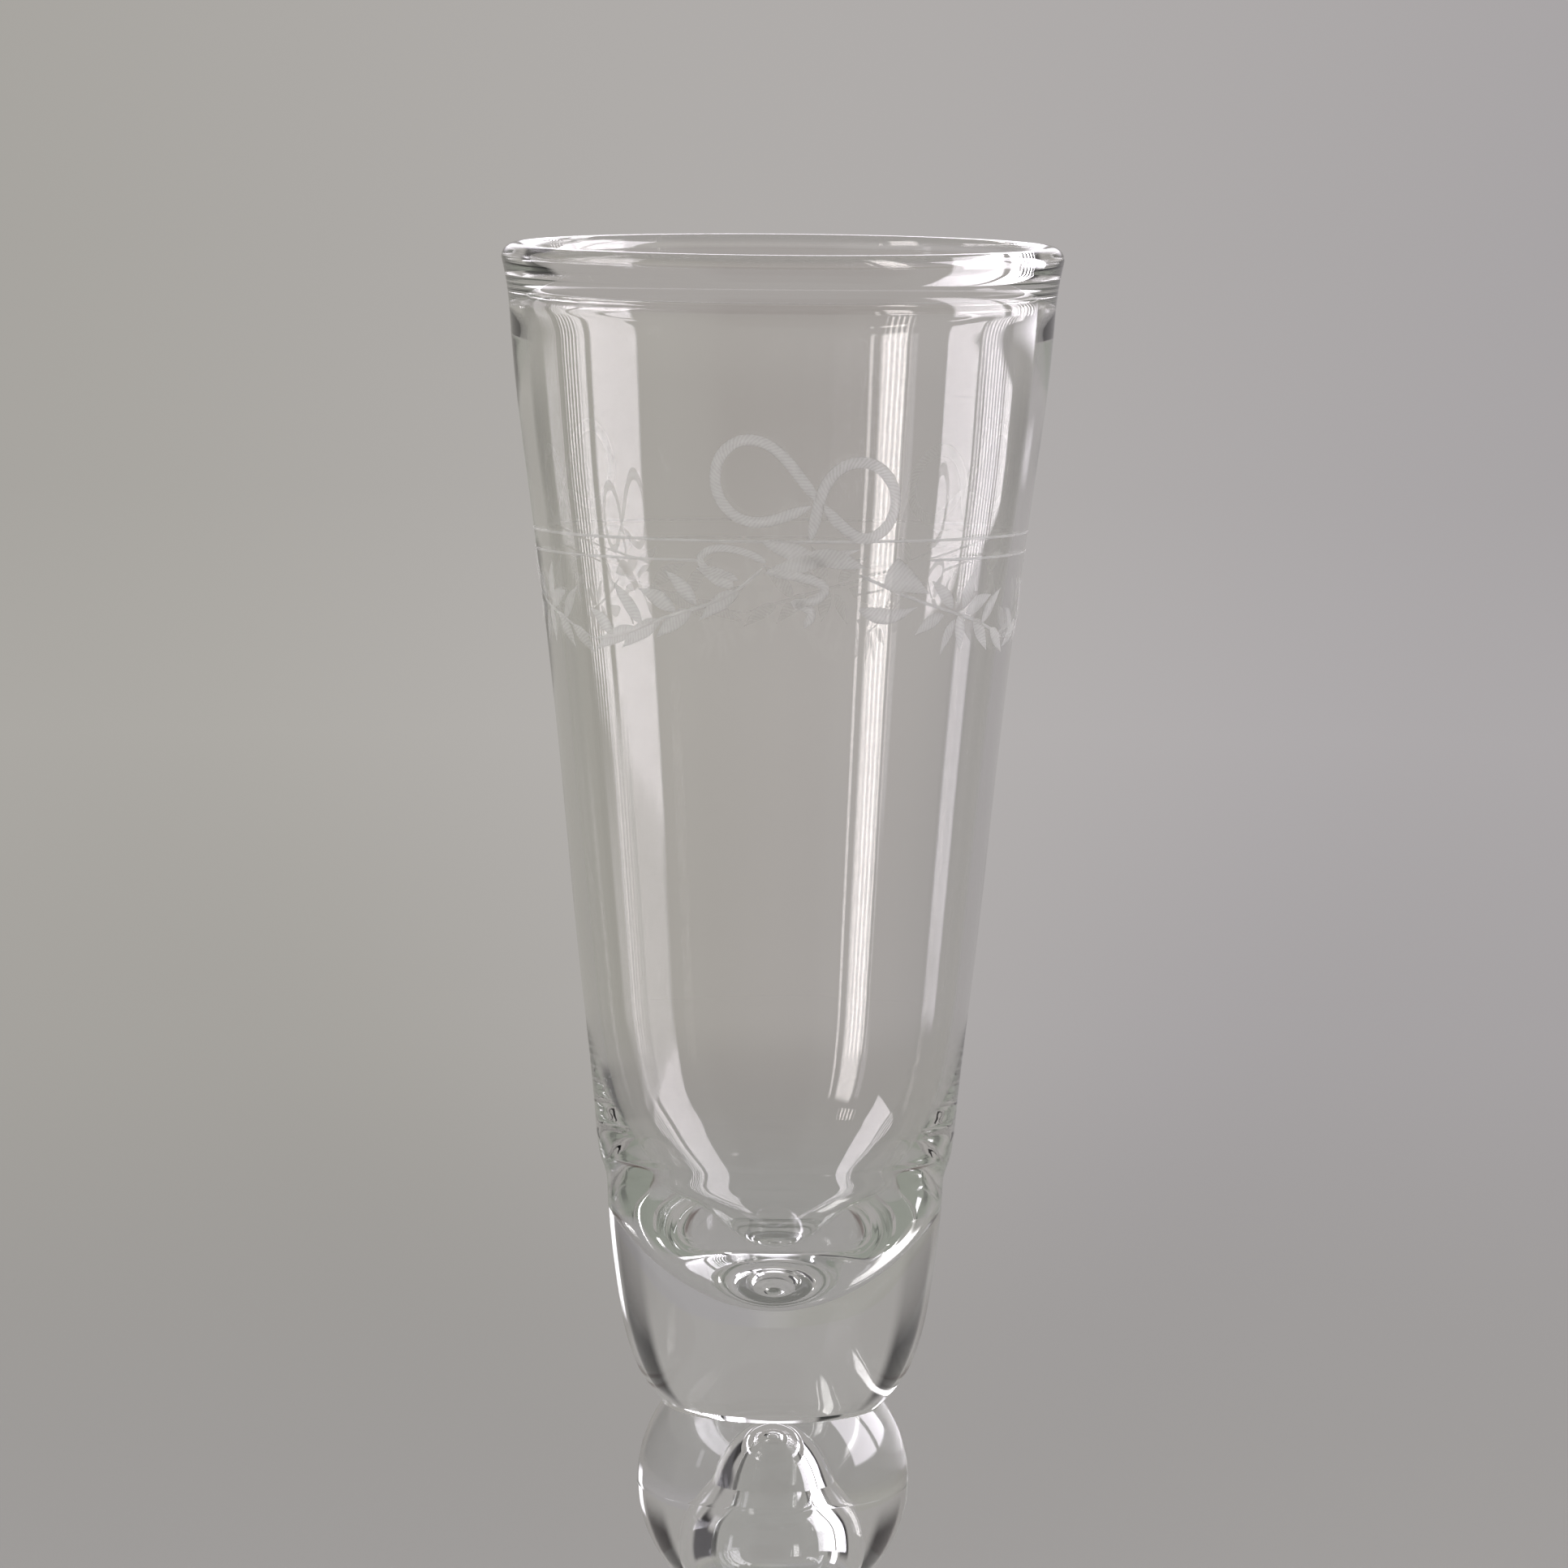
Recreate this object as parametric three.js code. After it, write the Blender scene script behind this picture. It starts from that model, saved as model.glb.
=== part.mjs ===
// A hand-made champagne flute in clear glass: a tall conical bowl with a heavy base and two engraved
// rings, a ball knop that holds an air tear, a plain waisted stem, and a round foot with a polished
// pontil mark. Each mesh is one gather of glass, and the gathers are fused face to face.
// Millimetres, +Z up. The origin is the centre of the foot's resting ring.
import * as THREE from "three";

// Driving dimensions: r is a radius and z a height
const RIM = { r: 30, z: 200.5, bead: 1.5 }; // the mouth, and the radius of its rounded edge
const SHOULDER = { r: 18.4, z: 100.6 }; // the soft crease between the bowl's wall and its heavy base
const CUP_FLOOR = { r: 14.6, z: 100.5, bottom: 87 }; // where the inside wall ends, and its lowest point
const RINGS = { heights: [168.6, 170.9], width: 0.5, depth: 0.15 }; // engraved round the bowl
const BOWL_JOINT = { r: 12.3, z: 75.7 }; // where the bowl is fused to the knop
const KNOP = { r: 14.75, z: 66.5 }; // the ball knop's radius and the height of its centre
const TEAR = { r: 4.4, split: 66.2, top: 70.8, bottom: 56.8 }; // r is at the split, where the gathers part
const TEAR_BELLY = { r: 6.4, z: 61.3 }; // the widest place of the air tear, below its narrow dome
const STEM_JOINT = { r: 6.6, z: 51.6 };
const WAIST = { r: 4.7, z: 30 }; // the thinnest place of the stem
const FOOT_JOINT = { r: 6.2, z: 13.5 };
const FOOT = { r: 33, edge: 1.2, rest: 29 }; // rest is the inner radius of the flat resting ring
const PONTIL = { r: 8, rise: 1.5, depth: 0.8 }; // the ground hollow in the middle of the underside

// Quality of the faceted solids
const SEGMENTS = 48; // facets round the axis
const CHORDS = 6; // in an arc or a Bezier curve

const clearGlass = new THREE.MeshStandardMaterial({ color: 0xe9efec, roughness: 0.03, metalness: 0 });
clearGlass.transparent = true;
clearGlass.opacity = 0.35;

const at = (r, z) => new THREE.Vector2(r, z);
const degrees = THREE.MathUtils.radToDeg;

// A smooth curve through [r, z] points, with the given number of chords between two of them
const through = (points, chords) =>
  new THREE.SplineCurve(points.map(([r, z]) => at(r, z))).getPoints((points.length - 1) * chords);

// A circular arc from angle `from` to angle `to`, in degrees
function arc(r, z, radius, from, to) {
  const [start, end] = [from, to].map(THREE.MathUtils.degToRad);
  return new THREE.EllipseCurve(r, z, radius, radius, start, end, to < from).getPoints(CHORDS);
}

// The radius of an upward outline at height z
function radiusAt(outline, z) {
  const above = outline.findIndex((p) => p.y > z);
  const [a, b] = [outline[above - 1], outline[above]];
  return THREE.MathUtils.mapLinear(z, a.y, b.y, a.x, b.x);
}

// An upward outline with a V-shaped groove cut in it at height z
function engraved(outline, z) {
  const [low, high] = [z - RINGS.width / 2, z + RINGS.width / 2];
  return [
    ...outline.filter((p) => p.y < low),
    at(radiusAt(outline, low), low),
    at(radiusAt(outline, z) - RINGS.depth, z),
    at(radiusAt(outline, high), high),
    ...outline.filter((p) => p.y > high),
  ];
}

// A closed solid of revolution about Z. The outline starts and ends on the axis and runs
// anticlockwise, up the outside and down the inside.
function turned(name, ...stretches) {
  const outline = stretches.flat().filter((p, i, all) => i === 0 || p.distanceTo(all[i - 1]) > 1e-3);
  const geometry = new THREE.LatheGeometry(outline, SEGMENTS);
  geometry.rotateX(Math.PI / 2);
  const mesh = new THREE.Mesh(geometry, clearGlass);
  mesh.name = name;
  return mesh;
}

// Bowl: the rounded base, the slightly waisted wall with its two rings, the rim's bead, and the inside
function bowl() {
  const base = new THREE.CubicBezierCurve(
    at(BOWL_JOINT.r, BOWL_JOINT.z),
    at(16.8, 80.6),
    at(17.6, 91),
    at(SHOULDER.r, SHOULDER.z),
  ).getPoints(CHORDS);
  const wall = through(
    [
      [SHOULDER.r, SHOULDER.z], [18.85, 101.9], [19.3, 104.3], [19.65, 108], [21.2, 122],
      [23, 140], [24.8, 157], [27.1, 175], [28.95, 191], [29.35, 195.6],
    ],
    1,
  );
  const bead = arc(RIM.r - RIM.bead, RIM.z - RIM.bead, RIM.bead, 0, 180);
  const innerWall = through(
    [
      [27.9, 196.2], [27.65, 191.5], [23.3, 157], [19.5, 121.5], [18.4, 112.5], [17.4, 107.4],
      [16.1, 103.4], [CUP_FLOOR.r, CUP_FLOOR.z],
    ],
    1,
  );
  const cupFloor = new THREE.QuadraticBezierCurve(
    at(CUP_FLOOR.r, CUP_FLOOR.z),
    at(CUP_FLOOR.r / 2, CUP_FLOOR.bottom),
    at(0, CUP_FLOOR.bottom),
  ).getPoints(CHORDS);
  const outside = RINGS.heights.reduce(engraved, [...base, ...wall.slice(1)]);
  return turned("bowl", at(0, BOWL_JOINT.z), outside, bead, innerWall, cupFloor);
}

// The angle of the knop's sphere at height z, in degrees above its equator
const knopAngle = (z) => degrees(Math.asin((z - KNOP.z) / KNOP.r));

// Knop cap: the covering gather, with the dome of the tear in its underside
function knopCap() {
  const dome = through(
    [[0, TEAR.top], [1.5, TEAR.top - 0.4], [2.8, TEAR.top - 1.5], [3.75, TEAR.top - 3], [TEAR.r, TEAR.split]],
    1,
  );
  const shoulder = arc(0, KNOP.z, KNOP.r, knopAngle(TEAR.split), knopAngle(BOWL_JOINT.z - 0.6));
  return turned("knop_cap", dome, shoulder, at(BOWL_JOINT.r, BOWL_JOINT.z), at(0, BOWL_JOINT.z));
}

// Knop body: the pricked gather, with the wide belly of the tear, drawn down into the stem
function knopBody() {
  const neck = through([[STEM_JOINT.r, STEM_JOINT.z], [8.2, 53.6]], 1);
  const belly = arc(0, KNOP.z, KNOP.r, knopAngle(56), knopAngle(TEAR.split));
  const pit = through(
    [
      [TEAR.r, TEAR.split], [5.5, 64.7], [TEAR_BELLY.r, TEAR_BELLY.z], [5.4, TEAR.bottom + 1.6],
      [3.2, TEAR.bottom + 0.4], [0, TEAR.bottom],
    ],
    2,
  );
  return turned("knop_body", at(0, STEM_JOINT.z), neck, belly, pit);
}

// Stem: solid, waisted between the knop and the foot
function stem() {
  const side = through(
    [[FOOT_JOINT.r, FOOT_JOINT.z], [5.1, 19], [WAIST.r, WAIST.z], [5, 42], [STEM_JOINT.r, STEM_JOINT.z]],
    2,
  );
  return turned("stem", at(0, FOOT_JOINT.z), side, at(0, STEM_JOINT.z));
}

// Foot: a low cone with a rounded edge, a flat resting ring, a hollow underside and a pontil mark
function foot() {
  const underside = [at(0, PONTIL.rise + PONTIL.depth), at(PONTIL.r, PONTIL.rise), at(FOOT.rest, 0)];
  const edge = arc(FOOT.r - FOOT.edge, FOOT.edge, FOOT.edge, -90, 90);
  const top = through([[28, 2.9], [19, 4.4], [11.5, 7.2], [7.8, 10.2], [FOOT_JOINT.r, FOOT_JOINT.z]], 2);
  return turned("foot", underside, edge, top, at(0, FOOT_JOINT.z));
}

const flute = new THREE.Group();
flute.add(bowl(), knopCap(), knopBody(), stem(), foot());
export default flute;
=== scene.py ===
"""A hand-made champagne flute in clear glass, with a wheel-cut garland of bows round its bowl."""
import math

import bpy
import numpy as np
from mathutils import Euler, Matrix, Vector, noise

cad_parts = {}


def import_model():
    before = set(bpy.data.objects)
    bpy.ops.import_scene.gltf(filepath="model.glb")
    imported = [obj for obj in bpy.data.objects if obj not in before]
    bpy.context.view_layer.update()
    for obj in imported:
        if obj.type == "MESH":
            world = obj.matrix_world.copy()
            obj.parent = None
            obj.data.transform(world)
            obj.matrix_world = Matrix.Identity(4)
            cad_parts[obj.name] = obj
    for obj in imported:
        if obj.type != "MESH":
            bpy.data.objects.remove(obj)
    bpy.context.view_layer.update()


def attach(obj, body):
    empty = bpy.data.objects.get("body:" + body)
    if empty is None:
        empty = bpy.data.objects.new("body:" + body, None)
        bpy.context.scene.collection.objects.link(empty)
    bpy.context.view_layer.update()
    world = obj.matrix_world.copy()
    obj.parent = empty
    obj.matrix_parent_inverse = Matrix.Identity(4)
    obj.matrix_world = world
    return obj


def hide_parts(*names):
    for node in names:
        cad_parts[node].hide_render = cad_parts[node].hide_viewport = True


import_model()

MM = 0.001  # outlines are in millimetres, as in the CAD source, and meshes in metres
BODY = "root"

# ---------------------------------------------------------------- outlines: [radius, height] points

NECK = (12.3, 75.7)
KNOP = (14.75, 66.5)
TEAR_SPLIT = (4.4, 66.2)
STEM_TOP = (6.6, 51.6)
STEM_FOOT = (6.2, 13.5)
RIM_RADIUS, RIM_TOP, RIM_BEAD = 30.0, 200.5, 1.5
FOOT_RADIUS, FOOT_EDGE, FOOT_REST = 33.0, 1.2, 29.0

BOWL_OUTSIDE = [
    NECK, (14.3, 78.2), (15.9, 82), (16.8, 86.2), (17.45, 90.6), (17.95, 95), (18.15, 98.2),
    (18.4, 100.6), (18.85, 101.9), (19.3, 104.3), (19.65, 108), (20.5, 116), (21.2, 122), (23, 140),
    (24.8, 157), (27.1, 175), (28.95, 191), (29.35, 195.6), (RIM_RADIUS, RIM_TOP - RIM_BEAD),
]
BOWL_INSIDE = [
    (27.6, 197.4), (27.95, 196.2), (27.7, 191.5), (25.6, 174.5), (23.3, 157), (21.4, 140),
    (19.5, 121.5), (18.4, 112.5), (17.4, 107.4), (16.1, 103.4),
]
CUP_FLOOR = [(14.6, 100.5), (7.3, 87), (0, 87)]  # the control points of a Bezier curve
TEAR_DOME = [(0, 70.8), (1.5, 70.4), (2.8, 69.3), (3.75, 67.8), TEAR_SPLIT]
TEAR_PIT = [
    TEAR_SPLIT, (5.3, 65), (6, 63.8), (6.4, 62.2), (6.4, 60.4), (5.4, 58.4), (3.2, 57.2), (0, 56.8),
]
KNOP_BELLY_BOTTOM = 56  # where the knop's ball starts to draw down into the stem
KNOP_NECK_GAP = 0.6  # the ball stops this far below the neck
STEM_SIDE = [STEM_FOOT, (5.1, 19), (4.7, 30), (5, 42), STEM_TOP]
FOOT_TOP = [(28, 2.9), (19, 4.4), (11.5, 7.2), (7.8, 10.2), STEM_FOOT]
PONTIL_RADIUS, PONTIL_RISE, PONTIL_TOP = 8.0, 1.5, 2.3


def through(points, step=0.7):
    """A natural cubic spline through the points, with a point about every step millimetres."""
    p = np.array(points, float)
    t = np.concatenate([[0], np.cumsum(np.linalg.norm(np.diff(p, axis=0), axis=1))])
    h = np.diff(t)
    n = len(p)
    a = np.eye(n)
    b = np.zeros_like(p)
    for i in range(1, n - 1):
        a[i, i - 1 : i + 2] = h[i - 1], 2 * (h[i - 1] + h[i]), h[i]
        b[i] = 6 * ((p[i + 1] - p[i]) / h[i] - (p[i] - p[i - 1]) / h[i - 1])
    m = np.linalg.solve(a, b)
    at = np.linspace(0, t[-1], max(2, math.ceil(t[-1] / step) + 1))
    k = np.clip(np.searchsorted(t, at, "right") - 1, 0, n - 2)
    u, v, w = (at - t[k])[:, None], (t[k + 1] - at)[:, None], h[k][:, None]
    start, end = p[k] / w - m[k] * w / 6, p[k + 1] / w - m[k + 1] * w / 6
    return (m[k] * v**3 + m[k + 1] * u**3) / (6 * w) + start * v + end * u


def bezier(points, chords=24):
    """A Bezier curve with the given control points."""
    t = np.linspace(0, 1, chords + 1)[:, None]
    p = [np.array(q, float) for q in points]
    while len(p) > 1:
        p = [a * (1 - t) + b * t for a, b in zip(p, p[1:])]
    return p[0]


def arc(centre, radius, start, end, chords=16):
    """A circular arc, with its angles in degrees."""
    angle = np.radians(np.linspace(start, end, chords + 1))
    return np.array(centre, float) + radius * np.column_stack([np.cos(angle), np.sin(angle)])


def knop_angle(z):
    """How far above the knop's equator height z is, in degrees."""
    return math.degrees(math.asin((z - KNOP[1]) / KNOP[0]))


def line(start, end, step=1.5):
    """A straight stretch."""
    count = max(1, round(math.dist(start, end) / step))
    return np.linspace(start, end, count + 1)


# ---------------------------------------------------------------- the glass

SEGMENTS = 180
WOBBLE = 0.032  # how far hand-blown walls wander, in millimetres
SMOOTH_ENDS = (6.0, 194.0)  # below and above these heights the glass is true
EASE = 6  # over this height the wandering sets in
WANDER_SPREAD, WANDER_HEIGHT = 17, 38  # the size of the slow swells, across and up
RIPPLE_HEIGHT, RIPPLE_SHARE = 5.5, 0.35  # of the turned ripples that run round the wall
SKIN_SHIFTS = (9, 3.7)  # in the noise, so that the inside's swells and ripples differ from the outside's
RIPPLE_PLACE = 5.1  # where in the noise the ripples are read
INWARD = 0.7  # shifts the wandering surface towards the axis
SAME_POINT = 1e-3  # points nearer than this are one
ON_AXIS = 1e-6  # smaller radii are on the axis
SHARP_ANGLE = 30  # edges sharper than this, in degrees, are drawn sharp


def wobble(x, y, z, skin):
    """How far the hand-blown surface stands off its outline. skin tells inside from outside."""
    low, high = SMOOTH_ENDS
    rise = min(max((z - low) / EASE, 0), 1) * min(max((high - z) / EASE, 0), 1)
    swell_shift, ripple_shift = SKIN_SHIFTS
    place = Vector((x / WANDER_SPREAD, y / WANDER_SPREAD, z / WANDER_HEIGHT + swell_shift * skin))
    ripples = noise.noise(Vector((ripple_shift * skin, RIPPLE_PLACE, z / RIPPLE_HEIGHT)))
    return WOBBLE * rise * (noise.noise(place) + RIPPLE_SHARE * ripples - INWARD)


def placed(name, data):
    """A new object in the scene."""
    made = bpy.data.objects.new(name, data)
    bpy.context.scene.collection.objects.link(made)
    return made


def turned(name, *stretches, seams=()):
    """A closed solid of revolution. Each stretch of its outline is (points, skin).

    Faces that lie at the seam heights get the second material.
    """
    rows, skins = [], []
    for points, skin in stretches:
        for p in np.atleast_2d(np.array(points, float)):
            if not rows or math.dist(p, rows[-1]) > SAME_POINT:
                rows.append(p)
                skins.append(skin)
    verts, faces, flags, starts = [], [], [], []
    for (r, z), skin in zip(rows, skins):
        starts.append(len(verts))
        if r < ON_AXIS:
            verts.append((0, 0, z))
            continue
        for k in range(SEGMENTS):
            angle = math.tau * k / SEGMENTS
            x, y = r * math.cos(angle), r * math.sin(angle)
            grow = 1 + (wobble(x, y, z, skin) / r if skin is not None else 0)
            verts.append((x * grow, y * grow, z))
    for i in range(len(rows) - 1):
        (r0, z0), (r1, z1) = rows[i], rows[i + 1]
        seam = any(abs(z0 - height) + abs(z1 - height) < SAME_POINT for height in seams)
        for k in range(SEGMENTS):
            a, b = starts[i] + k, starts[i] + (k + 1) % SEGMENTS
            c, d = starts[i + 1] + (k + 1) % SEGMENTS, starts[i + 1] + k
            if r0 < ON_AXIS:
                face = (starts[i], c, d)
            elif r1 < ON_AXIS:
                face = (a, b, starts[i + 1])
            else:
                face = (a, b, c, d)
            faces.append(face)
            flags.append(seam)
    mesh = bpy.data.meshes.new(name)
    mesh.from_pydata([Vector(v) * MM for v in verts], [], faces)
    mesh.polygons.foreach_set("material_index", [int(f) for f in flags])
    mesh.shade_smooth()
    mesh.set_sharp_from_angle(angle=math.radians(SHARP_ANGLE))
    mesh.validate()
    return placed(name, mesh)


OUTER, INNER, TRUE = 0, 1, None  # skins: two that wander apart, and one that is true


def bowl():
    """The heavy base and the wall, the rim's bead, and inside the wall and the cup's floor."""
    bead = arc((RIM_RADIUS - RIM_BEAD, RIM_TOP - RIM_BEAD), RIM_BEAD, 0, 180)
    inside = through([tuple(bead[-1]), *BOWL_INSIDE, CUP_FLOOR[0]])
    return turned(
        "flute_bowl",
        (line((0, NECK[1]), NECK), TRUE),
        (through(BOWL_OUTSIDE), OUTER),
        (bead, TRUE),
        (inside, INNER),
        (bezier(CUP_FLOOR), INNER),
        seams=[NECK[1]],
    )


def knop_cap():
    """The covering gather, with the dome of the air tear in its underside."""
    dome = through(TEAR_DOME, step=0.3)
    low, high = knop_angle(TEAR_SPLIT[1]), knop_angle(NECK[1] - KNOP_NECK_GAP)
    shoulder = arc((0, KNOP[1]), KNOP[0], low, high, chords=40)
    return turned(
        "flute_knop_cap",
        (dome, TRUE),
        (line(TEAR_SPLIT, tuple(shoulder[0])), TRUE),
        (shoulder, OUTER),
        (line(NECK, (0, NECK[1])), TRUE),
        seams=[TEAR_SPLIT[1], NECK[1]],
    )


def knop_body():
    """The pricked gather, with the belly of the tear, drawn down into the stem."""
    low, high = knop_angle(KNOP_BELLY_BOTTOM), knop_angle(TEAR_SPLIT[1])
    belly = arc((0, KNOP[1]), KNOP[0], low, high, chords=48)
    neck = through([STEM_TOP, (8.2, 53.6), tuple(belly[0])], step=0.5)
    pit = through(TEAR_PIT, step=0.3)
    return turned(
        "flute_knop_body",
        (line((0, STEM_TOP[1]), STEM_TOP), TRUE),
        (neck, OUTER),
        (belly, OUTER),
        (line(tuple(belly[-1]), TEAR_SPLIT), TRUE),
        (pit, TRUE),
        seams=[STEM_TOP[1], TEAR_SPLIT[1]],
    )


def stem():
    """Solid, and waisted between the knop and the foot."""
    return turned(
        "flute_stem",
        (line((0, STEM_FOOT[1]), STEM_FOOT), TRUE),
        (through(STEM_SIDE), OUTER),
        (line(STEM_TOP, (0, STEM_TOP[1])), TRUE),
        seams=[STEM_FOOT[1], STEM_TOP[1]],
    )


def foot():
    """A low cone with a rounded edge, over a hollow underside with a ground pontil mark."""
    pontil_edge = (PONTIL_RADIUS, PONTIL_RISE)
    pontil = bezier([(0, PONTIL_TOP), (4.4, PONTIL_TOP), pontil_edge], chords=8)
    kick = bezier([pontil_edge, (18, 1.3), (FOOT_REST, 0)], chords=12)
    edge = arc((FOOT_RADIUS - FOOT_EDGE, FOOT_EDGE), FOOT_EDGE, -90, 90)
    return turned(
        "flute_foot",
        (pontil, TRUE),
        (kick, TRUE),
        (edge, TRUE),
        (through(FOOT_TOP), TRUE),
        (line(STEM_FOOT, (0, STEM_FOOT[1])), TRUE),
        seams=[STEM_FOOT[1]],
    )


# ---------------------------------------------------------------- the engraving

# Strokes are drawn flat, in millimetres: along the wall from the middle of a bow, and up from
# the garland's line.
GARLAND_HEIGHT = 170.0
WALL_RADIUS = 26.6  # about there
BOW_AZIMUTHS = (9.2, 129.2, 249.2)  # azimuth 0 faces the camera, -Y, and 90 is +X
BOW_SPACING = math.tau * WALL_RADIUS / len(BOW_AZIMUTHS)
CUT_LIFT = (0.012, 0.045)  # how far the cuts stand off the wall, at their edges and middle
CUT_LEVELS, CUT_STEP = 4, 0.05  # crossing cuts lie at different levels, so that they stay apart
CUT_COLUMNS = 6  # points across a cut
CUT_SHARP_ANGLE = 40  # in degrees
HAND_WANDER = 0.75  # the hand-cut garland dips this far at the sides, and twice as far at the back

SMALL_LOOP = [
    (-5.7, -1.3), (-7.5, -0.4), (-9.7, 0.1), (-11.8, -0.1), (-12.8, -1), (-12.1, -2.1), (-10.2, -2.6),
    (-8.7, -3.2),
]
LEFT_LOOP = [
    (-0.3, 5), (-2.1, 7.3), (-4.2, 9.9), (-6.3, 11.3), (-8.2, 11.4), (-10, 10.2), (-10.9, 8),
    (-10.6, 5.6), (-9, 3.6), (-6.9, 2.9), (-4.5, 3.3), (-1.2, 4.6),
]
RIGHT_LOOP = [
    (-1.2, 1), (-0.5, 4.2), (0.1, 6.4), (1.2, 8.1), (3, 9.1), (5.2, 8.9), (7, 7.4), (7.8, 5.3),
    (7.4, 3.1), (6, 1.6), (4.5, 1.2), (2.8, 2), (1.2, 3.4), (0, 4.8),
]
TAIL = [
    (-5.3, -2.2), (-2.3, -2.8), (0.5, -4.1), (-0.4, -5.2), (-2.7, -5.6), (-1, -6.3), (-1.6, -8.1),
]
LEFT_STEM = [(-5.7, -1.5), (-9.5, -4.6), (-13.4, -6.2), (-17.7, -7.5), (-22.6, -9.2), (-27.8, -10)]
RIGHT_STEM = [(4.1, -2.5), (10, -4.9), (16.6, -6.8), (22, -8.2), (27.8, -10)]
# Leaves as (junction, tip, width)
LEFT_LEAVES = [
    ((-9.2, -3.9), (-13.2, -2), 1.9), ((-8.7, -4.3), (-13.1, -7.5), 1.7),
    ((-13.4, -5.8), (-16.9, -2.3), 1.6), ((-14, -6.5), (-18.5, -9.5), 1.8),
    ((-15.9, -6.6), (-20.4, -4.4), 1.8), ((-17.7, -7.6), (-23.3, -10.8), 1.8),
    ((-20.2, -8.2), (-24, -3.7), 1.6), ((-21, -8.6), (-27.6, -11.1), 1.7),
    ((-24.5, -9.4), (-28, -6.8), 1.6),
]
RIGHT_LEAVES = [
    ((16.6, -6.4), (13.1, -3.4), 1.5), ((15.2, -7), (11.3, -9.1), 1.5),
    ((17.8, -6.9), (18.5, -11), 1.7), ((18.3, -6.5), (20, -2.2), 1.8),
    ((17, -7.6), (15.2, -11.2), 1.3), ((18.8, -7), (23.2, -5.2), 1.7),
    ((20.4, -7.7), (24, -11.2), 1.8), ((22, -8.2), (25.6, -4.6), 1.6),
    ((24, -8.9), (28, -11.6), 1.6),
]
LEAF_BEND = 0.25  # how far the middle of a leaf is raised
LINE_WIDTH = 0.3  # of the two turned lines


def ribbon(share):
    """An even stroke with rounded ends."""
    return np.minimum(1, np.sqrt(np.clip(np.minimum(share, 1 - share) * 16, 0.02, 1)))


def blade(share):
    """A leaf, widest two fifths of the way from its junction to its tip."""
    return np.clip(np.sin(np.pi * share**0.75), 0.03, 1)


def wedge(share):
    """A cut that is widest near its start and runs out to a point."""
    return np.clip(1 - share**1.4, 0.03, 1) * np.clip(share * 9 + 0.3, 0, 1)


def bow_strokes():
    """The bow and its garland, as (points, width, profile) strokes."""
    strokes = [
        (LEFT_LOOP, 1.15, ribbon),
        (RIGHT_LOOP, 1.2, ribbon),
        (SMALL_LOOP, 0.8, ribbon),
        (TAIL, 1.0, ribbon),
        ([(-6.2, 0.9), (-3.6, 0.1), (-1, -0.9), (2, -1.6)], 1.9, blade),
        ([(-6, -2.5), (-2.6, -1.6), (1, -0.7), (4.3, 0.1)], 1.7, blade),
        ([(-1.4, -0.4), (1.4, -0.9), (5, -1.9)], 2.0, blade),
        (LEFT_STEM, 0.35, ribbon),
        (RIGHT_STEM, 0.35, ribbon),
    ]
    for base, tip, width in LEFT_LEAVES + RIGHT_LEAVES:
        bend = (0.5 * (base[0] + tip[0]), 0.5 * (base[1] + tip[1]) + LEAF_BEND)
        strokes.append(([base, bend, tip], width, blade))
    strokes.append(([(7.4, -2.2), (10, -3.4), (12.8, -4.7)], 3.6, wedge))
    strokes.append(([(4.3, -6.2), (7.9, -7), (11.5, -6.1)], 1.7, blade))
    return strokes


def ring_strokes(height, gap):
    """A thin turned line at one height, left out for the given width where each bow sits."""
    half = BOW_SPACING / 2
    if not gap:
        return [([(u, height) for u in np.linspace(-half, half, 5)], LINE_WIDTH, np.ones_like)]
    ends = ((-half, -gap / 2), (gap / 2, half))
    return [
        ([(u, height) for u in np.linspace(start, stop, 4)], LINE_WIDTH, ribbon)
        for start, stop in ends
    ]


def on_wall(u, v, azimuth, lift):
    """The place on the bowl's outer wall of a point of the flat drawing."""
    angle = math.radians(azimuth) + u / WALL_RADIUS
    z = GARLAND_HEIGHT + v + HAND_WANDER * (math.cos(angle) - 1)
    radius = np.interp(z, WALL_OUTLINE[:, 1], WALL_OUTLINE[:, 0])
    x, y = radius * math.sin(angle), -radius * math.cos(angle)
    grow = 1 + (wobble(x, y, z, OUTER) + lift) / radius
    return Vector((x * grow, y * grow, z)) * MM


def give_uvs(mesh, places):
    """A UV map with one place for each vertex."""
    layer = mesh.uv_layers.new(name="UVMap")
    for loop in mesh.loops:
        layer.data[loop.index].uv = places[loop.vertex_index]


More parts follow.
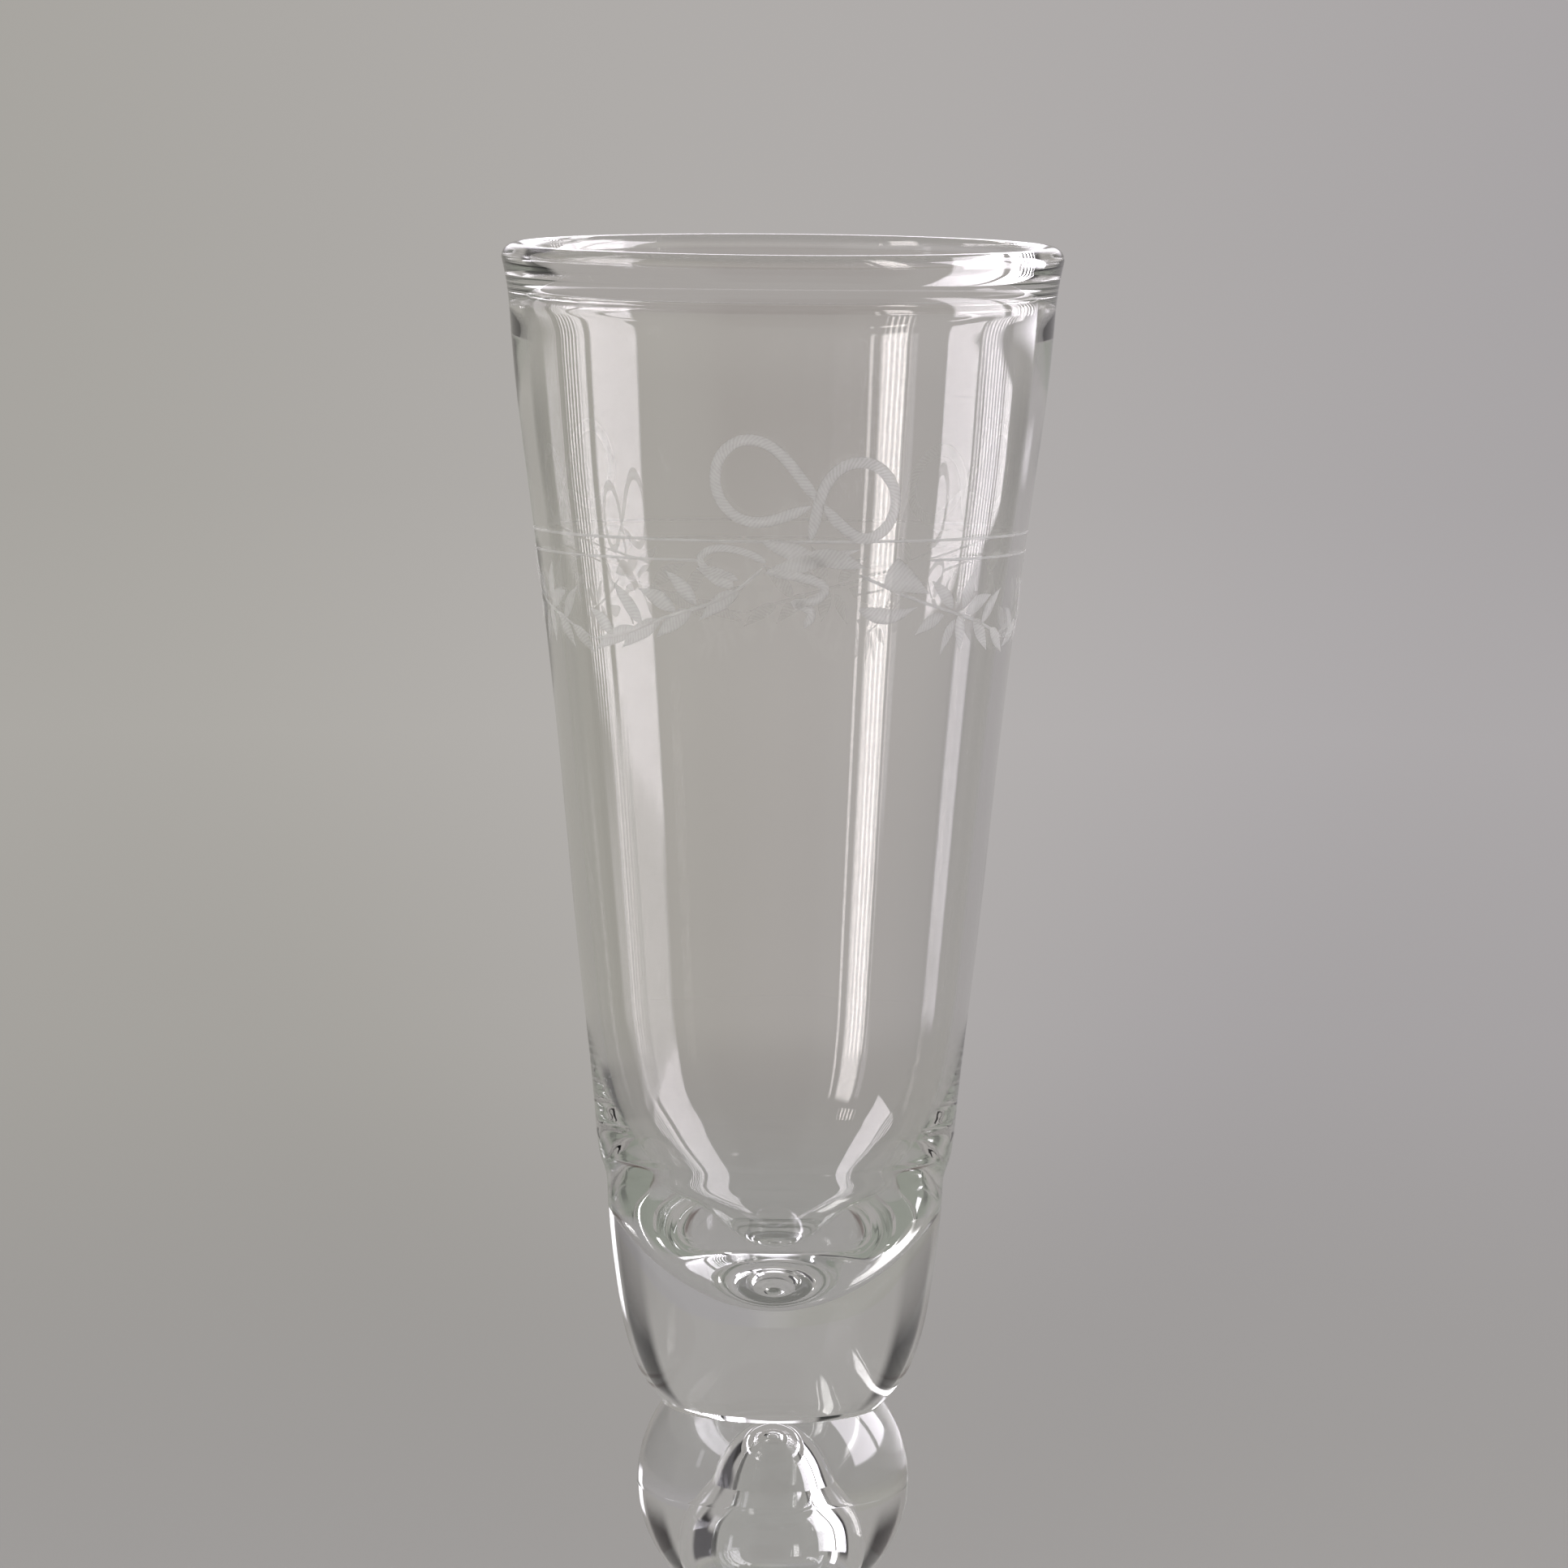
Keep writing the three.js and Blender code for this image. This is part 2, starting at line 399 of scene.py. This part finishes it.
def engraved(name, strokes, azimuth):
    """One piece made of thin frosted cuts.

    Each cut is a closed sliver, crowned along its middle, with its own run of UVs.
    """
    verts, faces, places = [], [], []
    edge_lift, middle_lift = CUT_LIFT
    for number, (points, width, profile) in enumerate(strokes):
        level = CUT_STEP * (number % CUT_LEVELS)
        path = through(points, step=0.4)
        run = np.concatenate([[0], np.cumsum(np.linalg.norm(np.diff(path, axis=0), axis=1))])
        ahead = np.gradient(path, axis=0)
        side = np.column_stack([-ahead[:, 1], ahead[:, 0]]) / np.linalg.norm(ahead, axis=1)[:, None]
        half = profile(run / run[-1]) * width / 2
        start, rows = len(verts), len(path)
        for skin in (1, 0):  # the top, and then the underside
            for i in range(rows):
                for across in np.linspace(-1, 1, CUT_COLUMNS):
                    u, v = path[i] + side[i] * half[i] * across
                    crown = edge_lift + (middle_lift - edge_lift) * (1 - across**2)
                    lift = level + (crown if skin else edge_lift / 2)
                    verts.append(on_wall(u, v, azimuth, lift))
                    places.append((run[i], across))
        layer = rows * CUT_COLUMNS

        def at(skin, i, j):
            return start + (0 if skin else layer) + i * CUT_COLUMNS + j

        for i in range(rows - 1):
            for j in range(CUT_COLUMNS - 1):
                top = (at(1, i, j), at(1, i, j + 1), at(1, i + 1, j + 1), at(1, i + 1, j))
                under = tuple(k + layer for k in reversed(top))
                faces += [top, under]
            faces.append((at(1, i + 1, 0), at(0, i + 1, 0), at(0, i, 0), at(1, i, 0)))
            last = CUT_COLUMNS - 1
            faces.append((at(1, i, last), at(0, i, last), at(0, i + 1, last), at(1, i + 1, last)))
        for i, turn in ((0, False), (rows - 1, True)):
            for j in range(CUT_COLUMNS - 1):
                end = (at(1, i, j), at(0, i, j), at(0, i, j + 1), at(1, i, j + 1))
                faces.append(tuple(reversed(end)) if turn else end)
    mesh = bpy.data.meshes.new(name)
    mesh.from_pydata(verts, [], faces)
    give_uvs(mesh, places)
    mesh.shade_smooth()
    mesh.set_sharp_from_angle(angle=math.radians(CUT_SHARP_ANGLE))
    mesh.validate()
    return placed(name, mesh)


# ---------------------------------------------------------------- materials


def nodes_of(name):
    """A new material, its node tree and its output node."""
    material = bpy.data.materials.new(name)
    material.use_nodes = True
    tree = material.node_tree
    tree.nodes.clear()
    out = tree.nodes.new("ShaderNodeOutputMaterial")
    return material, tree, out


def maths(tree, operation, *values):
    """The output of a new maths node, fed by numbers or by other nodes' outputs."""
    node = tree.nodes.new("ShaderNodeMath")
    node.operation = operation
    for socket, value in zip(node.inputs, values):
        if isinstance(value, float):
            socket.default_value = value
        else:
            tree.links.new(value, socket)
    return node.outputs["Value"]


def map_range(tree, value, from_range, to_range=(0, 1), smooth=False):
    """A value mapped from one range to another, and held to it."""
    node = tree.nodes.new("ShaderNodeMapRange")
    if smooth:
        node.interpolation_type = "SMOOTHSTEP"
    node.inputs["From Min"].default_value, node.inputs["From Max"].default_value = from_range
    node.inputs["To Min"].default_value, node.inputs["To Max"].default_value = to_range
    tree.links.new(value, node.inputs["Value"])
    return node.outputs["Result"]


def mix_colours(tree, factor, *colours):
    """A mix of two colours, each given as numbers or by another node's output."""
    node = tree.nodes.new("ShaderNodeMix")
    node.data_type = "RGBA"
    tree.links.new(factor, node.inputs["Factor"])
    for socket, colour in zip("AB", colours):
        if isinstance(colour, tuple):
            node.inputs[socket].default_value = (*colour, 1)
        else:
            tree.links.new(colour, node.inputs[socket])
    return node.outputs["Result"]


def mix_shaders(tree, factor, first, second, out):
    """Ends a material, or the world, in a mix of two shaders."""
    both = tree.nodes.new("ShaderNodeMixShader")
    tree.links.new(factor, both.inputs["Fac"])
    tree.links.new(first, both.inputs[1])
    tree.links.new(second, both.inputs[2])
    tree.links.new(both.outputs["Shader"], out.inputs["Surface"])


GLASS_IOR = 1.52
FACE_ON = ((0.957, 0.951, 0.937), (0.965, 0.957, 0.946))  # the glass drifts between these tints
EDGE_ON = (0.90, 0.95, 0.86)
THICK = (0.925, 0.94, 0.935)
THICK_HEIGHTS = (0.108, 0.092)  # in metres, where the thin wall's tint turns into the thick glass's
GLASS_SHADOW = (0.88, 0.89, 0.87)


def clear_glass():
    """Soda glass, faintly green where it is seen edge on. Lamps shine through it."""
    material, tree, out = nodes_of("clear_glass")
    link = tree.links.new
    place = tree.nodes.new("ShaderNodeTexCoord")
    drift = tree.nodes.new("ShaderNodeTexNoise")
    drift.inputs["Scale"].default_value = 30
    link(place.outputs["Object"], drift.inputs["Vector"])
    parts = tree.nodes.new("ShaderNodeSeparateXYZ")
    link(place.outputs["Object"], parts.inputs["Vector"])
    slope = tree.nodes.new("ShaderNodeLayerWeight")
    slope.inputs["Blend"].default_value = 0.12
    face_on = mix_colours(tree, drift.outputs["Fac"], *FACE_ON)
    heavy = map_range(tree, parts.outputs["Z"], THICK_HEIGHTS)
    tint = mix_colours(tree, slope.outputs["Facing"], mix_colours(tree, heavy, face_on, THICK), EDGE_ON)
    shader = tree.nodes.new("ShaderNodeBsdfPrincipled")
    shader.inputs["Transmission Weight"].default_value = 1
    shader.inputs["IOR"].default_value = GLASS_IOR
    shader.inputs["Roughness"].default_value = 0.0
    link(tint, shader.inputs["Base Color"])
    shadow = tree.nodes.new("ShaderNodeBsdfTransparent")
    shadow.inputs["Color"].default_value = (*GLASS_SHADOW, 1)
    path = tree.nodes.new("ShaderNodeLightPath")
    to_lamp = path.outputs["Is Shadow Ray"]
    mix_shaders(tree, to_lamp, shader.outputs["BSDF"], shadow.outputs["BSDF"], out)
    return material


def fused_seam():
    """Where two gathers are fused there is nothing to see, so light goes straight through."""
    material, tree, out = nodes_of("fused_seam")
    clear = tree.nodes.new("ShaderNodeBsdfTransparent")
    tree.links.new(clear.outputs["BSDF"], out.inputs["Surface"])
    return material


FROST_TONES = ((0.93, 0.915, 0.88), (0.97, 0.96, 0.93))
FROST_DEPTH = 0.0006  # how far light spreads in the bruised glass, in metres
TICK_SLANT = 24  # of the grit's ticks across a cut, in degrees
TICK_SHARE = 0.45  # of the ticks, laid over the finer grit
FROST_SPAN = (0.3, 0.95)  # of that pattern, from its lightest to its deepest cuts


def cut_frost(name, least, most):
    """Grey frost of wheel-cut glass, ticked across by the grit.

    Each face hides between least and most of what is behind it.
    """
    material, tree, out = nodes_of(name)
    link = tree.links.new
    place = tree.nodes.new("ShaderNodeUVMap")
    place.uv_map = "UVMap"
    slant = tree.nodes.new("ShaderNodeMapping")
    slant.inputs["Rotation"].default_value = (0, 0, math.radians(TICK_SLANT))
    link(place.outputs["UV"], slant.inputs["Vector"])
    ticks = tree.nodes.new("ShaderNodeTexWave")
    ticks.inputs["Scale"].default_value = 0.8
    ticks.inputs["Distortion"].default_value = 2.2
    ticks.inputs["Detail"].default_value = 3
    ticks.inputs["Detail Scale"].default_value = 1.6
    link(slant.outputs["Vector"], ticks.inputs["Vector"])
    grit = tree.nodes.new("ShaderNodeTexNoise")
    grit.inputs["Scale"].default_value = 1.3
    grit.inputs["Detail"].default_value = 4
    link(place.outputs["UV"], grit.inputs["Vector"])
    frost = maths(tree, "MULTIPLY_ADD", ticks.outputs["Fac"], TICK_SHARE, grit.outputs["Fac"])
    shader = tree.nodes.new("ShaderNodeBsdfPrincipled")
    shader.inputs["Roughness"].default_value = 0.85
    shader.inputs["Specular IOR Level"].default_value = 0.35
    shader.inputs["Subsurface Weight"].default_value = 1
    shader.inputs["Subsurface Radius"].default_value = (1, 1, 1)
    shader.inputs["Subsurface Scale"].default_value = FROST_DEPTH
    link(map_range(tree, frost, FROST_SPAN, (least, most)), shader.inputs["Alpha"])
    link(mix_colours(tree, frost, *FROST_TONES), shader.inputs["Base Color"])
    link(shader.outputs["BSDF"], out.inputs["Surface"])
    return material


GLASS = clear_glass()
SEAM = fused_seam()
DEEP_FROST = cut_frost("cut_frost", 0.31, 0.37)
LIGHT_FROST = cut_frost("cut_frost_light", 0.13, 0.17)

GATHERS = {"bowl": bowl, "knop_cap": knop_cap, "knop_body": knop_body, "stem": stem, "foot": foot}
for node, make in GATHERS.items():
    piece = make()
    piece.data.materials.append(GLASS)
    piece.data.materials.append(SEAM)
    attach(piece, BODY)
    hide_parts(node)

WALL_OUTLINE = through(BOWL_OUTSIDE, step=1.0)
UPPER_LINE, LOWER_LINE = 0.9, -1.2  # heights of the turned lines over the garland's line
LOWER_GAP = 25  # the lower line stops this wide at each bow
for number, azimuth in enumerate(BOW_AZIMUTHS, 1):
    lines = ring_strokes(UPPER_LINE, 0) + ring_strokes(LOWER_LINE, LOWER_GAP)
    for name, strokes in (("engraved_bow", bow_strokes()), ("engraved_lines", lines)):
        piece = engraved("%s_%d" % (name, number), strokes, azimuth)
        piece.data.materials.append(DEEP_FROST if number == 1 else LIGHT_FROST)
        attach(piece, BODY)

# ---------------------------------------------------------------- studio

CARD_DISTANCE, SILL_DISTANCE, FLAG_DISTANCE = 0.4, 0.42, 0.07  # from the flute's axis, in metres
CARD_CHORD = 3  # in degrees
MOST_MEETINGS, MOST_CLEAR = 64, 32  # of one ray, with glass and with faces that let it straight through
SOFT = (0.08, 0.04)  # the share of a card's width and height over which it fades out
WARM, COOL, PINK, GREEN = (1, 0.975, 0.94), (1.0, 0.945, 1.03), (1, 0.95, 0.97), (0.95, 1.0, 0.88)
ROOM = (0.9, 0.62, 0.55)  # the warm tone of the room in front of the flute
WINDOW_SOFT = (0.06, 0.04)
# Meetings with glass: in through a wall, mirrored by the inside of the opposite one, and out again
MIRRORED_INSIDE = (4, 5)


def card_light(name, colour, strength, soft, bounces):
    """Light of one colour that fades out towards the card's edges.

    With bounces (least, most) given, it is only seen by reflection, and after so many meetings
    with glass.
    """
    material, tree, out = nodes_of(name)
    light = tree.nodes.new("ShaderNodeEmission")
    light.inputs["Color"].default_value = (*colour, 1)
    light.inputs["Strength"].default_value = strength
    nothing = tree.nodes.new("ShaderNodeBsdfTransparent")
    place = tree.nodes.new("ShaderNodeTexCoord")
    parts = tree.nodes.new("ShaderNodeSeparateXYZ")
    tree.links.new(place.outputs["UV"], parts.inputs["Vector"])
    factors = []
    for axis, edge in zip("XY", soft):
        off_middle = maths(tree, "ABSOLUTE", maths(tree, "SUBTRACT", parts.outputs[axis], 0.5))
        to_edge = maths(tree, "SUBTRACT", 0.5, off_middle)
        factors.append(map_range(tree, to_edge, (0, edge), smooth=True))
    if bounces:
        path = tree.nodes.new("ShaderNodeLightPath")
        least, most = bounces
        factors += [
            maths(tree, "MINIMUM", path.outputs["Glossy Depth"], 1.0),
            maths(tree, "GREATER_THAN", path.outputs["Ray Depth"], least - 0.5),
            maths(tree, "LESS_THAN", path.outputs["Ray Depth"], most + 0.5),
        ]
    cover = factors[0]
    for factor in factors[1:]:
        cover = maths(tree, "MULTIPLY", cover, factor)
    mix_shaders(tree, cover, nothing.outputs["BSDF"], light.outputs["Emission"], out)
    return material


def card(name, azimuths, heights, colour, strength, soft=SOFT, bounces=(1, 5), distance=CARD_DISTANCE):
    """A curved reflector card round the flute, seen only in the glass.

    Azimuth 0 is towards the camera, -Y, and 90 is +X. Without bounces the card is seen only
    through the glass, and isn't mirrored.
    """
    start, end = azimuths
    steps = max(2, round(abs(end - start) / CARD_CHORD))
    n = steps + 1
    verts, uvs = [], []
    for j, height in enumerate(heights):
        for i in range(n):
            angle = math.radians(start + (end - start) * i / steps)
            verts.append((distance * math.sin(angle), -distance * math.cos(angle), height))
            uvs.append((i / steps, j))
    faces = [(i, i + 1, n + i + 1, n + i) for i in range(steps)]
    mesh = bpy.data.meshes.new(name)
    mesh.from_pydata(verts, [], faces)
    give_uvs(mesh, uvs)
    mesh.materials.append(card_light(name, colour, strength, soft, bounces))
    made = placed(name, mesh)
    for ray in ("camera", "diffuse", "shadow", "volume_scatter"):
        setattr(made, "visible_" + ray, False)
    made.visible_glossy = bounces is not None


# Windows and lamps. The inside of the bowl's back wall mirrors them, so that what stands on one
# side is seen on the other.
card("card_right_pane_near", (75, 108), (0.138, 0.62), COOL, 8.2)
card("card_right_pane_far", (110.5, 133), (0.138, 0.62), COOL, 7.4)
card(
    "card_right_sill", (75, 131), (0.09, 0.165), COOL, 4.2,
    soft=(0.1, 0.3), bounces=MIRRORED_INSIDE, distance=SILL_DISTANCE,
)
card("card_right_wall", (135, 158), (0.15, 0.5), COOL, 2.4, soft=(0.2, 0.1), bounces=MIRRORED_INSIDE)
card("card_left_window_near", (-112, -88), (0.19, 0.33), COOL, 9.0, soft=WINDOW_SOFT, bounces=(5, 5))
card("card_left_window_far", (-150, -112), (0.178, 0.31), COOL, 7.5, soft=WINDOW_SOFT, bounces=(5, 5))
card("card_front_strip", (-65, -48.5), (0.02, 0.31), PINK, 12.0, soft=(0.2, 0.2), bounces=(4, 7))
card(
    "card_front_strip_side", (-46, -43.5), (0.10, 0.31), PINK, 8.0,
    soft=(0.3, 0.2), bounces=MIRRORED_INSIDE,
)
card("card_second_strip", (-71, -65), (0.14, 0.26), COOL, 2.4, soft=(0.3, 0.2))
# Light behind the rim, the dim room in front, and a faint glow for light that is mirrored often
card("card_behind", (152, 208), (0.215, 0.40), COOL, 2.6, soft=(0.4, 0.2))
card("card_room", (-38, 60), (0.02, 0.6), ROOM, 0.13, soft=(0.2, 0.1))
card("card_glow", (-175, 175), (0.0, 0.5), GREEN, 0.3, soft=(0.1, 0.1), bounces=(7, MOST_MEETINGS))
# Light and dark that show through the glass along its edges, and a dark flag close to the knop
card("card_edge_light", (99, 114), (0.0, 0.16), COOL, 3.2, soft=(0.2, 0.2), bounces=None)
card("card_edge_dark_right", (114, 142), (0.06, 0.4), COOL, 0.02, soft=(0.25, 0.3), bounces=None)
card("card_edge_dark_left", (-144, -111), (0.06, 0.4), COOL, 0.02, soft=(0.25, 0.3), bounces=None)
card("flag_knop", (-145, -80), (0.06, 0.095), COOL, 0.08, soft=(0.2, 0.2), distance=FLAG_DISTANCE)

BACKDROP = (0.395, 0.375, 0.365)  # the even grey above the horizon
SOFT_BOX = (0.62, 0.61, 0.60)  # what lit surfaces get from all round
PAPER = (0.345, 0.34, 0.33)
LEFT_LIGHT_TINT, RIGHT_LIGHT_TINT = (1.0, 0.962, 0.9), (1.01, 0.962, 0.975)  # painted light: the floor is warmer on the left, as if lit warm there, and cooler on the right
FLOOR_RADII = (0.2, 0.4, 0.8, 1.6, 3.2, 12, 50, 400)  # the last is lost on the horizon
FLOOR_TURNS = 64
FADE = (0.2, 0.8)  # over these distances the lit paper gives way to a glowing floor with painted light and shade
# Painted light on the glowing floor: its brightness at distances from the flute, brightest in a pool
# about 1.3 m out
PAINTED_FLOOR_LIGHT = ((0.4, 0.42), (0.8, 0.425), (1.33, 0.46), (2.3, 0.436), (5.0, 0.43))
LIGHT_TINT_REACH = 0.12  # how far sideways the painted light's tint changes, as the sine of the angle at the flute
PAINTED_SHADE_REACH, PAINTED_SIDE_SHADE = 0.17, 0.11  # painted shade: how far sideways, and by how much, the floor gets darker


def floor_mesh():
    """A round sheet of rings, with a point in its middle."""
    turns = FLOOR_TURNS
    verts = [(0, 0, 0)]
    for r in FLOOR_RADII:
        angles = [math.tau * k / turns for k in range(turns)]
        verts += [(r * math.cos(angle), r * math.sin(angle), 0) for angle in angles]
    faces = [(0, 1 + k, 1 + (k + 1) % turns) for k in range(turns)]
    for i in range(len(FLOOR_RADII) - 1):
        inner, outer = 1 + i * turns, 1 + (i + 1) * turns
        for k in range(turns):
            after = (k + 1) % turns
            faces.append((inner + k, outer + k, outer + after, inner + after))
    mesh = bpy.data.meshes.new("floor")
    mesh.from_pydata(verts, [], faces)
    return mesh


def painted_light_by_distance(tree, distance):
    """Painted light: the glowing floor's brightness at a distance from the flute, with a brighter pool
    about 1.3 m out.
    """
    far = PAINTED_FLOOR_LIGHT[-1][0]
    tones = tree.nodes.new("ShaderNodeValToRGB")
    stops = tones.color_ramp.elements
    while len(stops) < len(PAINTED_FLOOR_LIGHT):
        stops.new(0.5)
    for stop, (place, brightness) in zip(stops, PAINTED_FLOOR_LIGHT):
        stop.position = place / far
        stop.color = (brightness, brightness, brightness, 1)
    tree.links.new(map_range(tree, distance, (0, far)), tones.inputs["Fac"])
    return tones.outputs["Color"]


def paper_and_painted_light():
    """Paper near the flute, and further out a glowing grey with painted light: a pool of light, a warmer
    tint on the left, and painted shade that falls off to the sides.
    """
    material, tree, out = nodes_of("paper_and_painted_light")
    link = tree.links.new
    place = tree.nodes.new("ShaderNodeTexCoord")
    away = tree.nodes.new("ShaderNodeVectorMath")
    away.operation = "LENGTH"
    link(place.outputs["Object"], away.inputs[0])
    distance = away.outputs["Value"]
    direction = tree.nodes.new("ShaderNodeVectorMath")
    direction.operation = "NORMALIZE"
    link(place.outputs["Object"], direction.inputs[0])
    parts = tree.nodes.new("ShaderNodeSeparateXYZ")
    link(direction.outputs["Vector"], parts.inputs["Vector"])
    sideways = parts.outputs["X"]
    paper = tree.nodes.new("ShaderNodeBsdfPrincipled")
    paper.inputs["Base Color"].default_value = (*PAPER, 1)
    paper.inputs["Roughness"].default_value = 0.9
    paper.inputs["Specular IOR Level"].default_value = 0.1
    # Painted light: a warm tint on the left and a cooler one on the right
    across = map_range(tree, sideways, (-LIGHT_TINT_REACH, LIGHT_TINT_REACH))
    # Painted light: the floor's brightness by distance, times the painted tint
    shade = tree.nodes.new("ShaderNodeVectorMath")
    shade.operation = "MULTIPLY"
    link(painted_light_by_distance(tree, distance), shade.inputs[0])
    link(mix_colours(tree, across, LEFT_LIGHT_TINT, RIGHT_LIGHT_TINT), shade.inputs[1])
    # Painted shade: the glowing floor gets darker towards the sides
    off_middle = maths(tree, "ABSOLUTE", sideways)
    side_shade = map_range(tree, off_middle, (0, PAINTED_SHADE_REACH), (1, 1 - PAINTED_SIDE_SHADE), smooth=True)
    even = tree.nodes.new("ShaderNodeEmission")
    link(shade.outputs["Vector"], even.inputs["Color"])
    link(side_shade, even.inputs["Strength"])
    fade = map_range(tree, distance, FADE, smooth=True)
    mix_shaders(tree, fade, paper.outputs["BSDF"], even.outputs["Emission"], out)
    return material


def floor():
    """A round pale floor, lit like paper near the flute, and further out a glowing grey with painted
    light and shade.
    """
    mesh = floor_mesh()
    mesh.materials.append(paper_and_painted_light())
    placed("floor", mesh)


LAMP_TARGET = (0, 0, 0.1)  # the heavy base of the bowl
CAMERA_PLACE = (0.0006, -0.726, 0.2294)
CAMERA_TILT, CAMERA_ROLL = 6.82, 0.5  # in degrees, down and anticlockwise
LENS, SENSOR = 156.1, 36  # in millimetres


def world():
    """Even light all round. Lit surfaces get more of it than the glass mirrors."""
    made = bpy.data.worlds.new("studio")
    bpy.context.scene.world = made
    made.use_nodes = True
    tree = made.node_tree
    seen = tree.nodes["Background"]
    seen.inputs["Color"].default_value = (*BACKDROP, 1)
    soft = tree.nodes.new("ShaderNodeBackground")
    soft.inputs["Color"].default_value = (*SOFT_BOX, 1)
    path = tree.nodes.new("ShaderNodeLightPath")
    lighting = path.outputs["Is Diffuse Ray"]
    out = tree.nodes["World Output"]
    mix_shaders(tree, lighting, seen.outputs["Background"], soft.outputs["Background"], out)


def lamp(name, place, size, power, colour):
    """A large soft light. It lights the paper and the frosted cuts, and isn't seen in the glass."""
    data = bpy.data.lights.new(name, "AREA")
    data.shape = "SQUARE"
    data.size = size
    data.energy = power
    data.color = colour
    made = placed(name, data)
    made.location = place
    aim = Vector(LAMP_TARGET) - Vector(place)
    made.rotation_euler = aim.to_track_quat("-Z", "Y").to_euler()
    made.visible_camera = False
    made.visible_glossy = False
    made.visible_transmission = False


def camera():
    """A long lens a little above the rim, looking slightly down."""
    data = bpy.data.cameras.new("camera")
    data.lens = LENS
    data.sensor_width = SENSOR
    made = placed("camera", data)
    tilt = Euler((math.radians(90 - CAMERA_TILT), 0, 0)).to_matrix()
    aim = tilt @ Matrix.Rotation(math.radians(CAMERA_ROLL), 3, "Z")
    made.matrix_world = Matrix.Translation(CAMERA_PLACE) @ aim.to_4x4()
    bpy.context.scene.camera = made


floor()
world()
lamp("lamp_right", (1.4, -0.6, 1.1), 1.2, 18, COOL)
lamp("lamp_left", (-1.2, -0.9, 0.9), 1.0, 12, WARM)
camera()
scene = bpy.context.scene
scene.view_settings.view_transform = "Standard"
scene.cycles.max_bounces = MOST_MEETINGS
scene.cycles.transmission_bounces = MOST_MEETINGS
scene.cycles.glossy_bounces = MOST_MEETINGS
scene.cycles.transparent_max_bounces = MOST_CLEAR
scene.cycles.use_denoising = True
